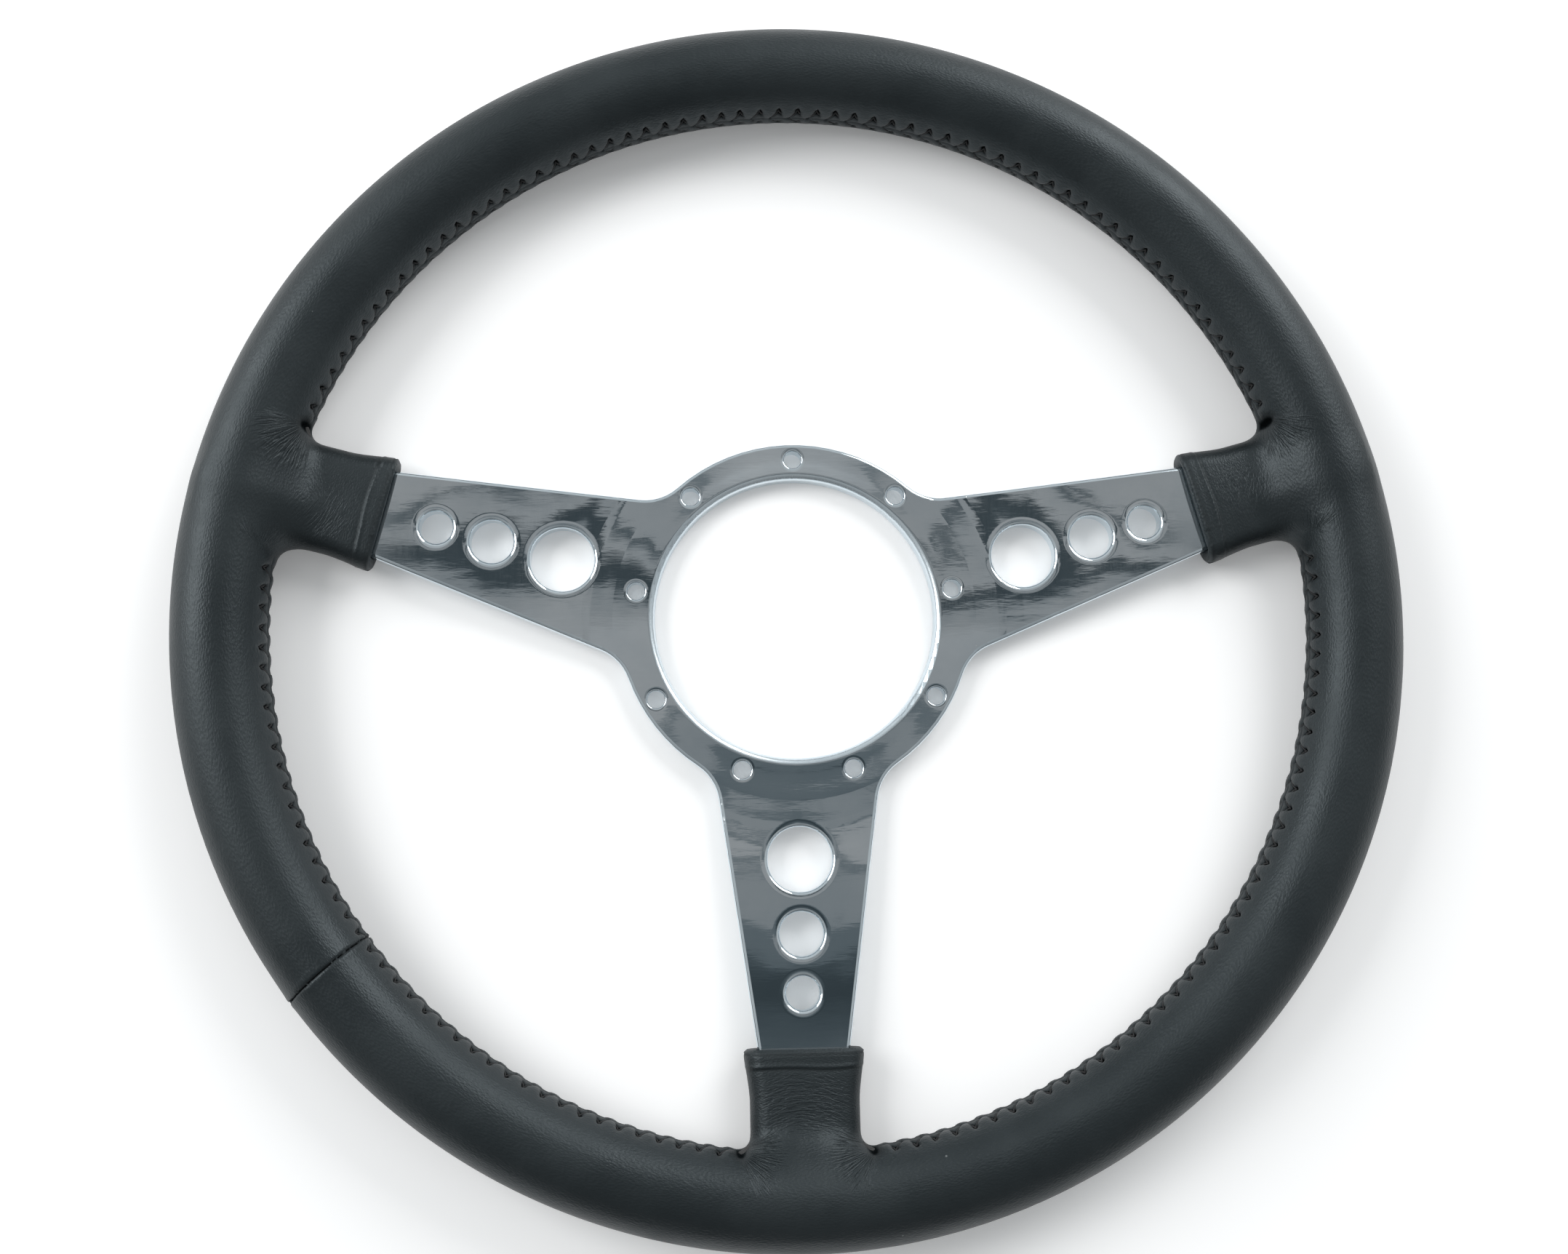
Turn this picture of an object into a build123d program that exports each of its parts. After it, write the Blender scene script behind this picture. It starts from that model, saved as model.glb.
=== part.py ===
from build123d import *
from build123d.topology import SkipClean
from math import asin, atan2, ceil, cos, degrees, hypot, radians, sin, tan
import os

# Car steering wheel, lying face up. Millimetres and degrees.
# The origin is the centre of the hub's back face, +Z is the wheel's axis towards the driver,
# and +Y is the top of the wheel. Angles are measured from +X.

# Rim
wheel_diameter = 381.0        # over the leather
rim_thickness = 28.8          # across the leather, round in section
rim_height = 13.4             # centre of the rim above the hub's back face
leather_thickness = 1.3
glue_gap = 0.05               # between the leather and the grip under it

# Alloy centre plate
plate_thickness = 5.0
bolt_circle = 101.6
bolt_count = 9
bolt_hole = 5.5
bolt_hole_round = 0.5
hub_edge = 5.2                # alloy outside the bolt circle
opening_edge = 6.5            # alloy inside the bolt circle
opening_round = 2.0           # front edge of the hub opening
hub_flat_margin = 1.5         # flat face beyond the hub's edge, before the plate bends
crank_radius = 190.0
crank_angle = 3.0             # rise of the spokes towards the driver
side_spoke_angle = 14.6       # rise of the two side spokes in plan
spoke_root_width = 50.0       # at the hub's edge
spoke_end_width = 28.2        # where the leather sleeve starts
hub_blend = 15.0              # hollow corner between hub and spoke
edge_round = 1.2              # polished outline edges
armature_width = 14.0         # ring inside the rim that the spokes end in
armature_blend = 6.0          # hollow corner between spoke and armature ring
mould_gap = 0.05              # between the plate and the grip moulded round it

# Row of holes down each spoke
large_hole = 20.0
middle_hole = 13.5
small_hole = 10.2
hole_web = 5.9                # alloy between two holes
hole_row_shift = 0.85         # the row lies this much nearer the hub than the sleeve
spoke_hole_round = 1.0

# Leather sleeves over the spoke ends
sleeve_length = 29.4          # from the inside of the rim to the sleeve's end
sleeve_width = 33.6
sleeve_thickness = 12.4
sleeve_corner = 5.0
sleeve_blend = 6.0            # hollow corner between sleeve and rim
sleeve_arc = 1.7              # rim on each side of a sleeve, in widths of its hollow corner
hem_length = 5.0              # turned hem at the sleeve's end
hem_proud = 1.1
hem_round = 0.7
hem_wall = 2.6                # leather folded in over the end of the grip
spoke_clearance = 0.15        # round the spoke where it leaves the hem

# Seam and lacing
seam_angle = 216.8
seam_width = 1.0
seam_depth = 0.8
thread_diameter = 1.0
thread_gap = 0.02             # between a stitch and the leather under it
lacing_pitch = 6.2
lacing_height = 7.0           # front to back between the lacing holes
lacing_slant = 32.0           # of a stitch from straight across the laced edges
lacing_depth = 0.45           # the laced edges are drawn in from the round of the rim
lacing_end_gap = 4.5          # from the sleeve's hollow corner to the first stitch
lacing_margin = 3.2           # drawn-in edge beyond the middle of the first stitch
sleeve_stitch_pitch = 5.2
sleeve_stitch_length = 6.0
sleeve_stitch_margin = 4.0    # from the hem to the first stitch

near = 0.01                   # what counts as lying on a surface

hub_radius = bolt_circle / 2 + hub_edge
opening_radius = bolt_circle / 2 - opening_edge
ring_radius = (wheel_diameter - rim_thickness) / 2
rim_inner = ring_radius - rim_thickness / 2
sleeve_start = rim_inner - sleeve_length
armature_inner = ring_radius - armature_width / 2
armature_outer = ring_radius + armature_width / 2
spoke_angles = {"right": side_spoke_angle, "left": 180 - side_spoke_angle, "bottom": 270}
corner_angle = degrees(asin((sleeve_width / 2 + sleeve_blend) / rim_inner))
bend_start = hub_radius + hub_flat_margin
rise = radians(crank_angle)


def plate_height(rho, depth):
    # height, at this distance from the axis, of the surface this deep into the plate from its back
    radius = crank_radius - depth
    bend_end = bend_start + radius * sin(rise)
    if rho <= bend_start:
        return depth
    if rho < bend_end:
        return crank_radius - (radius ** 2 - (rho - bend_start) ** 2) ** 0.5
    return crank_radius - radius * cos(rise) + (rho - bend_end) * tan(rise)


def dished_disc(grow):
    # flat hub from well inside its opening, a gentle bend, then a shallow cone out to the armature ring
    outer_end = armature_outer + grow

    def face_line(depth):
        bend_end = bend_start + (crank_radius - depth) * sin(rise)
        stations = (opening_radius / 2, bend_start, (bend_start + bend_end) / 2, bend_end, outer_end)
        spots = [(rho, plate_height(rho, depth)) for rho in stations]
        return [Line(*spots[:2]), ThreePointArc(*spots[1:4]), Line(*spots[3:])]

    back, front = face_line(-grow), face_line(plate_thickness + grow)
    ends = [Line(back[0] @ 0, front[0] @ 0), Line(back[2] @ 1, front[2] @ 1)]
    return revolve(Plane.XZ * make_face(back + front + ends), Axis.Z)


def plate_outline(grow):
    # hub, tapered spokes and armature ring in plan, with hollow corners
    def half_width(rho):
        taper = (spoke_root_width - spoke_end_width) / (sleeve_start - hub_radius)
        return (spoke_root_width - taper * (rho - hub_radius)) / 2 + grow

    hub, inner = hub_radius + grow, armature_inner - grow
    outline = Circle(hub) + (Circle(armature_outer + grow) - Circle(inner))
    for angle in spoke_angles.values():
        side = [(rho, half_width(rho)) for rho in (0, ring_radius)]
        other_side = [(rho, -width) for rho, width in reversed(side)]
        outline += Rot(0, 0, angle) * make_face(Polyline(*side, *other_side, close=True))
    for radius, blend in ((hub, hub_blend - grow), (inner, armature_blend - grow)):
        corners = [v for v in outline.vertices() if abs(hypot(v.X, v.Y) - radius) < near]
        outline = fillet(corners, blend)
    return outline


def plate_blank(grow):
    # the centre plate without its holes and rounded edges, larger all over by grow
    deep = Pos(0, 0, -rim_thickness) * extrude(plate_outline(grow), 2 * rim_thickness + rim_height)
    return dished_disc(grow) & deep


def on_front(edge):
    spots = [edge @ t for t in (0.1, 0.5, 0.9)]
    return all(abs(p.Z - plate_height(hypot(p.X, p.Y), plate_thickness)) < near for p in spots)


def spoke_holes():
    # each hole's distance from the axis: a row between the hub's edge and the sleeve
    sizes = (large_hole, middle_hole, small_hole)
    row = sum(sizes) + hole_web * (len(sizes) - 1)
    at = (hub_radius + sleeve_start - row) / 2 - hole_row_shift
    distances = {}
    for size in sizes:
        distances[size] = at + size / 2
        at += size + hole_web
    return distances


def make_spider():
    plate = plate_blank(0)
    walls = [f for f in plate.faces() if abs(f.normal_at(f.center()).Z) < near]
    edges = [e for wall in walls for e in wall.edges() if on_front(e)]
    shown = [e for e in edges if hypot((e @ 0.5).X, (e @ 0.5).Y) < armature_inner - armature_blend]
    plate = fillet(shown, edge_round)

    places = {
        (2 * opening_radius, opening_round): [Location()],
        (bolt_hole, bolt_hole_round): list(PolarLocations(bolt_circle / 2, bolt_count, 90)),
    }
    for size, distance in spoke_holes().items():
        along = [Rot(0, 0, angle) * Pos(distance, 0, 0) for angle in spoke_angles.values()]
        places[(size, spoke_hole_round)] = along
    for (size, rounding), spots in places.items():
        plate -= [spot * Cylinder(size / 2, wheel_diameter) for spot in spots]
        bores = [f for f in plate.faces().filter_by(GeomType.CYLINDER) if abs(f.radius - size / 2) < near]
        plate = fillet([e for bore in bores for e in bore.edges() if on_front(e)], rounding)
    return plate


def sleeve_plane(rho):
    # square across the +X spoke at this distance from the axis: x along the wheel, y to the front
    middle = (plate_height(rho, 0) + plate_height(rho, plate_thickness)) / 2
    return Plane(origin=(rho, 0, middle), x_dir=(0, 1, 0), z_dir=(cos(rise), 0, sin(rise)))


def sleeve_block(start, grow, length):
    section = RectangleRounded(sleeve_width + 2 * grow, sleeve_thickness + 2 * grow, sleeve_corner + grow)
    return extrude(sleeve_plane(start) * section, length)


def joined(first, *others):
    # fused with its faces as they are: merging the arcs of the rim into one face would spoil it
    with SkipClean():
        return first.fuse(*others)


def cut_back(shape, *tools):
    with SkipClean():
        return shape.cut(*tools)


def rim_arc(tube, first, last):
    section = Plane.XZ * Pos(ring_radius, rim_height) * Circle(tube)
    return Rot(0, 0, first) * revolve(section, Axis.Z, revolution_arc=last - first)


def grip_form(inset, start):
    # the rim with a sleeve blended in along each spoke, drawn in from the leather's surface by inset
    tube = rim_thickness / 2 - inset
    reach = sleeve_arc * corner_angle
    joint = rim_arc(tube, -reach, reach) + sleeve_block(start, -inset, ring_radius - start)

    def in_corner(edge):
        p = edge @ 0.5
        rho = hypot(p.X, p.Y)
        on_tube = abs(hypot(rho - ring_radius, p.Z - rim_height) - tube) < near
        return on_tube and rho < ring_radius and abs(degrees(atan2(p.Y, p.X))) < corner_angle

    joint = fillet([e for e in joint.edges() if in_corner(e)], sleeve_blend + inset)
    spokes = sorted(spoke_angles.values())
    gaps = zip(spokes, spokes[1:] + [spokes[0] + 360])
    arcs = [rim_arc(tube, one + reach, other - reach) for one, other in gaps]
    return joined(*arcs, *[Rot(0, 0, angle) * joint for angle in spokes])


def lacing_runs():
    # the gaps between the spokes, each as the angles of its first and last stitch
    end = corner_angle + degrees(lacing_end_gap / rim_inner)
    right, left, bottom = (spoke_angles[side] for side in ("right", "left", "bottom"))
    return {
        "top": (right + end, left - end),
        "left": (left + end, bottom - end),
        "right": (bottom + end, right + 360 - end),
    }


def seam_groove():
    # round the rim where the two ends of the leather meet
    outside = rim_thickness / 2
    section = Circle(outside + seam_depth) - Circle(outside - seam_depth)
    across = Plane(origin=(ring_radius, 0, rim_height), x_dir=(1, 0, 0), z_dir=(0, 1, 0))
    return Rot(0, 0, seam_angle) * extrude(across * section, seam_width / 2, both=True)


def laced_band(first, last):
    # flat along the inside of the rim where the two long edges are drawn together
    margin = degrees(lacing_margin / rim_inner)
    section = Plane.XZ * Pos(rim_inner, rim_height) * Rectangle(2 * lacing_depth, rim_thickness)
    return Rot(0, 0, first - margin) * revolve(section, Axis.Z, revolution_arc=last - first + 2 * margin)


def make_leather():
    leather = grip_form(0, sleeve_start)
    hem = sleeve_block(sleeve_start, hem_proud, hem_length)
    ends = hem.faces().sort_by(Axis.X)
    hem = fillet(ends[0].edges() + ends[-1].edges(), hem_round)
    leather = joined(leather, *[Rot(0, 0, angle) * hem for angle in spoke_angles.values()])
    bands = [laced_band(first, last) for first, last in lacing_runs().values()]
    hollow = grip_form(leather_thickness, sleeve_start + hem_wall)
    return cut_back(leather, hollow, plate_blank(spoke_clearance), seam_groove(), *bands)


def make_core():
    inset = leather_thickness + glue_gap
    return cut_back(grip_form(inset, sleeve_start + hem_wall + glue_gap), plate_blank(mould_gap))


def thread_bar(length):
    # one stitch of half-round section, lying on the XY plane along X
    radius = thread_diameter / 2
    arch = ThreePointArc((-radius, 0), (0, radius), (radius, 0))
    section = make_face([arch, Line(arch @ 1, arch @ 0)])
    return extrude(Plane.YZ * section, length / 2, both=True)


def make_lacing(first, last):
    seat = rim_inner + lacing_depth
    slant = radians(lacing_slant)
    length = lacing_height / cos(slant)
    reach = length / 2 * sin(slant) + thread_diameter / 2
    lift = reach ** 2 / 2 / seat + thread_gap    # a straight stitch spans the hollow of the rim
    inwards = Plane(origin=(seat - lift, 0, rim_height), x_dir=(0, 0, 1), z_dir=(-1, 0, 0))
    bar = inwards * Rot(0, 0, lacing_slant) * thread_bar(length)
    count = ceil(radians(last - first) * seat / lacing_pitch)
    turns = [first + (last - first) * step / count for step in range(count + 1)]
    return Compound([Rot(0, 0, turn) * bar for turn in turns])


def make_sleeve_stitching(angle):
    # across the closing seam on the back of a sleeve
    first, last = sleeve_start + hem_length + sleeve_stitch_margin, rim_inner - sleeve_blend
    count = ceil((last - first) / sleeve_stitch_pitch)
    depth = sleeve_thickness / 2 + thread_gap
    bars = []
    for step in range(count + 1):
        spot = sleeve_plane(first + (last - first) * step / count).from_local_coords((0, -depth, 0))
        back = Plane(origin=spot, x_dir=(0, 1, 0), z_dir=(sin(rise), 0, -cos(rise)))
        bars.append(Rot(0, 0, angle) * (back * thread_bar(sleeve_stitch_length)))
    return Compound(bars)


pieces = {"spider": make_spider(), "rim_core": make_core(), "leather_cover": make_leather()}
for run, (first, last) in lacing_runs().items():
    pieces["lacing_" + run] = make_lacing(first, last)
for side, angle in spoke_angles.items():
    pieces["sleeve_stitching_" + side] = make_sleeve_stitching(angle)

os.makedirs("parts", exist_ok=True)
for name, piece in pieces.items():
    export_step(piece, "parts/" + name + ".step")
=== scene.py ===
import math
import bmesh
import bpy
import numpy as np
from mathutils import Matrix, Vector


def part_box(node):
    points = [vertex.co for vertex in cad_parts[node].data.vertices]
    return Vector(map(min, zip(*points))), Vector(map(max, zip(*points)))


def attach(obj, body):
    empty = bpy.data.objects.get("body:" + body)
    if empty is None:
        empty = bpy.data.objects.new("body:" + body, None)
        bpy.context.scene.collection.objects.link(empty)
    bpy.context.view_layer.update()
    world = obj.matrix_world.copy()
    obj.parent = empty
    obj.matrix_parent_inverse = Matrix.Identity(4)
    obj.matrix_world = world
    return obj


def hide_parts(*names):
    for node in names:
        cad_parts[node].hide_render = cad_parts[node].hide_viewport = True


# Car steering wheel lying face up: polished alloy centre, laced leather rim with a sleeve down each spoke.
# Sizes in the dictionaries are millimetres and degrees, in the frame's own axes.

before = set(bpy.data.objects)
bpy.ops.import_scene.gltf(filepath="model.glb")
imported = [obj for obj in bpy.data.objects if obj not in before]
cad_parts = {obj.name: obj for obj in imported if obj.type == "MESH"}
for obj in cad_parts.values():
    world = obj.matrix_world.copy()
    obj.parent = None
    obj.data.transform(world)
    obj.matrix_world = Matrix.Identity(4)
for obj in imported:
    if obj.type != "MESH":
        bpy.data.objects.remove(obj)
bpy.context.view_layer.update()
scene = bpy.context.scene
scene.view_settings.view_transform = "Standard"
mm = 0.001

rimLow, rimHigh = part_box("leather_cover")
tubeRadius = (rimHigh.z - rimLow.z) / 2 / mm
ringRadius = rimHigh.x / mm - tubeRadius
rimHeight = (rimHigh.z + rimLow.z) / 2 / mm
rimInner = ringRadius - tubeRadius
print("frame loaded: rim of", round(2 * ringRadius + 2 * tubeRadius, 1), "mm")

spokes = {
    "right": {"angle": 14.6, "cornerLow": 9.0, "cornerHigh": 7.5},
    "left": {"angle": 165.4, "cornerLow": 5.5, "cornerHigh": 10.0},
    "bottom": {"angle": 270.0, "cornerLow": 5.0, "cornerHigh": 5.0},
}  # hollow corners on the clockwise and the other side of each sleeve


def smooth(low, high, x):
    t = np.clip((x - low) / (high - low), 0, 1)
    return t * t * (3 - 2 * t)


def bump(x, width):
    return np.exp(-((x / width) ** 2))


def addPiece(name, mesh, material):
    piece = bpy.data.objects.new(name, mesh)
    scene.collection.objects.link(piece)
    mesh.materials.clear()
    mesh.materials.append(material)
    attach(piece, "root")
    return piece


# Nodes: for the materials, the stitches and the sky

def feed(tree, socket, value):
    if isinstance(value, bpy.types.NodeSocket):
        tree.links.new(value, socket)
    else:
        socket.default_value = (*value, 1) if socket.type == "RGBA" else value


def setInputs(tree, node, inputs):
    for key, value in inputs.items():
        feed(tree, node.inputs[key], value)


def addNode(tree, kind, inputs=None, **settings):
    node = tree.nodes.new(kind)
    for key, value in settings.items():
        setattr(node, key, value)
    setInputs(tree, node, inputs or {})
    return node


def startTree(name, kind, inputs, output, outputKind="Float"):
    tree = bpy.data.node_groups.new(name, kind)
    tree.interface.new_socket(output, in_out="OUTPUT", socket_type="NodeSocket" + outputKind)
    for label, inputKind in inputs.items():
        tree.interface.new_socket(label, in_out="INPUT", socket_type="NodeSocket" + inputKind)
    return tree, addNode(tree, "NodeGroupInput").outputs, addNode(tree, "NodeGroupOutput").inputs[0]


def mathNode(tree, operation, *values, clamp=False):
    node = addNode(tree, "ShaderNodeMath", dict(enumerate(values)), operation=operation, use_clamp=clamp)
    return node.outputs[0]


def vectorNode(tree, operation, *values):
    node = addNode(tree, "ShaderNodeVectorMath", dict(enumerate(values)), operation=operation)
    return node.outputs["Value" if operation == "LENGTH" else "Vector"]


def splitNode(tree, vector):
    return addNode(tree, "ShaderNodeSeparateXYZ", {0: vector}).outputs


def joinNode(tree, *values):
    return addNode(tree, "ShaderNodeCombineXYZ", dict(enumerate(values))).outputs[0]


def mappingNode(tree, vector, **values):
    return addNode(tree, "ShaderNodeMapping", {"Vector": vector, **values}).outputs[0]


def polarNodes(tree, vector):
    # seen flat: the place without its height, how far out it is, its angle
    plan = vectorNode(tree, "MULTIPLY", vector, (1, 1, 0))
    x, y, _ = splitNode(tree, plan)
    return plan, vectorNode(tree, "LENGTH", plan), mathNode(tree, "ARCTAN2", y, x)


def rangeNode(tree, value, fromMin, fromMax, toMin, toMax, easing="SMOOTHSTEP"):
    limits = {"Value": value, "From Min": fromMin, "From Max": fromMax, "To Min": toMin, "To Max": toMax}
    return addNode(tree, "ShaderNodeMapRange", limits, interpolation_type=easing).outputs[0]


def noiseNode(tree, vector, scale, detail=2.0, rough=0.5):
    inputs = {"Vector": vector, "Scale": scale, "Detail": detail, "Roughness": rough}
    return addNode(tree, "ShaderNodeTexNoise", inputs).outputs[0]


def mixColours(tree, amount, first, second):
    return addNode(tree, "ShaderNodeMix", {0: amount, 6: first, 7: second}, data_type="RGBA").outputs[2]


def bumpNode(tree, height, strength, distance, under=None):
    node = addNode(tree, "ShaderNodeBump", {"Height": height, "Strength": strength, "Distance": distance})
    if under is not None:
        tree.links.new(under, node.inputs["Normal"])
    return node.outputs[0]


def placeGroup(tree, group, vector, **values):
    return addNode(tree, "ShaderNodeGroup", {"Vector": vector, **values}, node_tree=group).outputs[0]


# Materials: a bump is its strength and its height in metres

def specksGroup():
    # stray specks of dust: a few small spots, each of its own size
    inputs = {"Vector": "Vector", "Scale": "Float", "Spread": "Float"}
    group, given, mask = startTree("dustSpecks", "ShaderNodeTree", inputs, "Mask")
    spots = {"Vector": given["Vector"], "Scale": given["Scale"]}
    cells = addNode(group, "ShaderNodeTexVoronoi", spots, feature="F1").outputs
    chosen = addNode(group, "ShaderNodeSeparateColor", {0: cells["Color"]}).outputs[0]
    size = mathNode(group, "SUBTRACT", chosen, given["Spread"])
    inside = mathNode(group, "SUBTRACT", size, cells["Distance"])
    feed(group, mask, rangeNode(group, inside, 0, 0.04, 0, 1))
    return group


def unevenGroup():
    # slow changes over a surface, with a finer change on top
    inputs = {"Vector": "Vector", "Scale": "Float"}
    group, given, value = startTree("unevenFinish", "ShaderNodeTree", inputs, "Value")
    slow = noiseNode(group, given["Vector"], given["Scale"], 5.0, 0.6)
    feed(group, value, rangeNode(group, slow, 0.3, 0.7, 0, 1))
    return group


dustSpecks = specksGroup()
unevenFinish = unevenGroup()


def startMaterial(name):
    material = bpy.data.materials.new(name)
    material.use_nodes = True
    tree = material.node_tree
    coords = addNode(tree, "ShaderNodeTexCoord").outputs["Object"]
    return material, tree, tree.nodes["Principled BSDF"], coords


leatherFinish = {
    "hide": (0.0050, 0.0076, 0.0088),
    "worn": (0.0105, 0.0140, 0.0155),
    # painted shade: the colour of pits, grooves and dents where little light goes
    "paintedShade": (0.0012, 0.0015, 0.0017),
    "dust": (0.12, 0.13, 0.13),
    "gloss": (0.84, 0.95, 1.0),
    "uneven": 28,
    "specks": {"Scale": 150, "Spread": 0.93},
    "roughness": (0.41, 0.50),
    "paintedShadeRoughness": 0.5,
    "paintedShadeNoGloss": 0.35,          # painted shade deeper than this also takes the gloss away
    "grainStretch": 0.45,        # cells are longer round the rim
    "grainScale": 2000,
    "grainSoft": 0.5,
    "grainBump": (0.28, 0.00028),
    "creaseScale": 0.9,          # creases per millimetre where the leather is gathered
    "creaseStretch": 0.16,
    "creaseWidth": 0.12,
    "fanBump": (0.5, 0.00060),
    "rowBump": (0.5, 0.00045),
    "pores": 5200,
    "poreBump": (0.15, 0.00018),
}


def leatherMaterial():
    f = leatherFinish
    material, tree, shader, coords = startMaterial("blackLeather")
    uneven = placeGroup(tree, unevenFinish, coords, Scale=f["uneven"])
    dust = placeGroup(tree, dustSpecks, coords, **f["specks"])
    # painted shade in the pits, grooves and dents of the sewing, stored on the mesh
    paintedShade = addNode(tree, "ShaderNodeAttribute", attribute_name="paintedShade").outputs["Fac"]
    colour = mixColours(tree, uneven, f["hide"], f["worn"])
    colour = mixColours(tree, paintedShade, colour, f["paintedShade"])
    plainRough = rangeNode(tree, uneven, 0, 1, *f["roughness"])

    _, out, turn = polarNodes(tree, coords)
    around = mathNode(tree, "MULTIPLY", turn, ringRadius * mm * f["grainStretch"])
    grain = {"Vector": joinNode(tree, around, out, splitNode(tree, coords)[2]),
             "Scale": f["grainScale"], "Smoothness": f["grainSoft"]}
    cells = addNode(tree, "ShaderNodeTexVoronoi", grain, feature="SMOOTH_F1")
    under = bumpNode(tree, cells.outputs["Distance"], *f["grainBump"])
    for kind in ("fan", "row"):
        gather = addNode(tree, "ShaderNodeAttribute", attribute_name=kind + "Gather").outputs["Vector"]
        across, along, deep = splitNode(tree, gather)
        lines = joinNode(tree, across, mathNode(tree, "MULTIPLY", along, f["creaseStretch"]))
        ridges = noiseNode(tree, lines, f["creaseScale"])
        fold = mathNode(tree, "ABSOLUTE", mathNode(tree, "SUBTRACT", ridges, 0.5))
        height = mathNode(tree, "MULTIPLY", rangeNode(tree, fold, 0, f["creaseWidth"], 0, 1), deep)
        under = bumpNode(tree, height, *f[kind + "Bump"], under)
    pores = noiseNode(tree, coords, f["pores"], 3)
    setInputs(tree, shader, {
        "Base Color": mixColours(tree, dust, colour, f["dust"]),
        # painted shade also turns to black metal, which takes the gloss away, and is rougher
        "Metallic": rangeNode(tree, paintedShade, f["paintedShadeNoGloss"], 1, 0, 1),
        "Roughness": mathNode(tree, "MULTIPLY_ADD", paintedShade, f["paintedShadeRoughness"], plainRough),
        "Specular Tint": f["gloss"],
        "Normal": bumpNode(tree, pores, *f["poreBump"], under),
    })
    return material


buffing = {
    "slope": 0.085,            # the polishing wheel dips the face towards every edge
    "reach": 2.5,
    "boltReach": 1.3,
    "edgeReach": 1.3,
    "spokeHoles": [(75.55, 10.0), (98.2, 6.75), (115.95, 5.1)],     # how far out, radius
    "opening": 44.3,
    "boltCircle": (50.8, 2.75, 9),
    "spokeEdge": [(56.0, 25.0), (132.3, 14.1)],                     # how far out, half the width
    "spokeFade": (64.0, 78.0),
    "bend": (61.0, 12.0, 0.085),        # it softens the bend too: how far out, reach, height
}


def dipNode(tree, away, reach):
    # how far the face has dipped, in millimetres, this far (metres) from an edge
    near = rangeNode(tree, away, 0.0, reach * mm, 1.0, 0.0, "LINEAR")
    return mathNode(tree, "MULTIPLY", mathNode(tree, "MULTIPLY", near, near), buffing["slope"] * reach / 2)


def holeDip(tree, place, middle, radius, reach=buffing["reach"]):
    away = vectorNode(tree, "LENGTH", vectorNode(tree, "SUBTRACT", place, (middle * mm, 0, 0)))
    return dipNode(tree, mathNode(tree, "SUBTRACT", away, radius * mm), reach)


def buffedGroup():
    # how deep, in millimetres, the polished face dips beside the holes and along the spokes
    group, given, result = startTree("buffedEdges", "ShaderNodeTree", {"Vector": "Vector"}, "Dip")
    plan, out, turn = polarNodes(group, given["Vector"])
    dips = [holeDip(group, plan, 0, buffing["opening"])]

    circle, radius, count = buffing["boltCircle"]     # every bolt hole is turned on to the first
    step = 2 * math.pi / count
    turn = mathNode(group, "SUBTRACT", turn, math.pi / 2 - step / 2)
    turn = mathNode(group, "SUBTRACT", mathNode(group, "FLOORED_MODULO", turn, step), step / 2)
    folded = [mathNode(group, "MULTIPLY", out, mathNode(group, wave, turn)) for wave in ("COSINE", "SINE")]
    dips.append(holeDip(group, joinNode(group, *folded), circle, radius, buffing["boltReach"]))

    bend, reach, height = buffing["bend"]
    apart = mathNode(group, "ABSOLUTE", mathNode(group, "SUBTRACT", out, bend * mm))
    dips.append(rangeNode(group, apart, 0, reach * mm, -height, 0))

    (near, nearHalf), (far, farHalf) = buffing["spokeEdge"]
    taper = (farHalf - nearHalf) / (far - near)
    fadeFrom, fadeTo = buffing["spokeFade"]
    for spoke in spokes.values():
        turned = mappingNode(group, plan, Rotation=(0, 0, -math.radians(spoke["angle"])))
        for middle, radius in buffing["spokeHoles"]:
            dips.append(holeDip(group, turned, middle, radius))
        along, across, _ = splitNode(group, turned)
        half = mathNode(group, "MULTIPLY_ADD", along, taper, (nearHalf - near * taper) * mm)
        away = mathNode(group, "SUBTRACT", half, mathNode(group, "ABSOLUTE", across))
        onSpoke = rangeNode(group, along, fadeFrom * mm, fadeTo * mm, 0, 1)
        dips.append(mathNode(group, "MULTIPLY", dipNode(group, away, buffing["edgeReach"]), onSpoke))
    total = dips[0]
    for dip in dips[1:]:
        total = mathNode(group, "ADD", total, dip)
    feed(group, result, total)
    return group


buffedEdges = buffedGroup()

alloyFinish = {
    "metal": (0.74, 0.81, 0.85),
    "stained": (0.63, 0.71, 0.76),
    "dust": (0.9, 0.9, 0.9),
    "uneven": 22,
    "specks": {"Scale": 210, "Spread": 0.95},
    "roughness": (0.012, 0.04),     # edges are less finely polished
    "edgeDip": (0.03, 0.12),
    "brush": (2600, 160, 400),
    "brushRoughness": 0.03,
    "haze": (116.0, 134.0, 0.09),   # towards the sleeves the polish turns hazy
    "satin": (46.0, 46.9, 0.24),    # the round edge of the opening
    "wave": 15,
    "waveBump": (0.10, 0.004),
    "ripple": (70, 380, 100),       # fine waves left by the polishing
    "rippleBump": (0.02, 0.0002),
}


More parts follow.
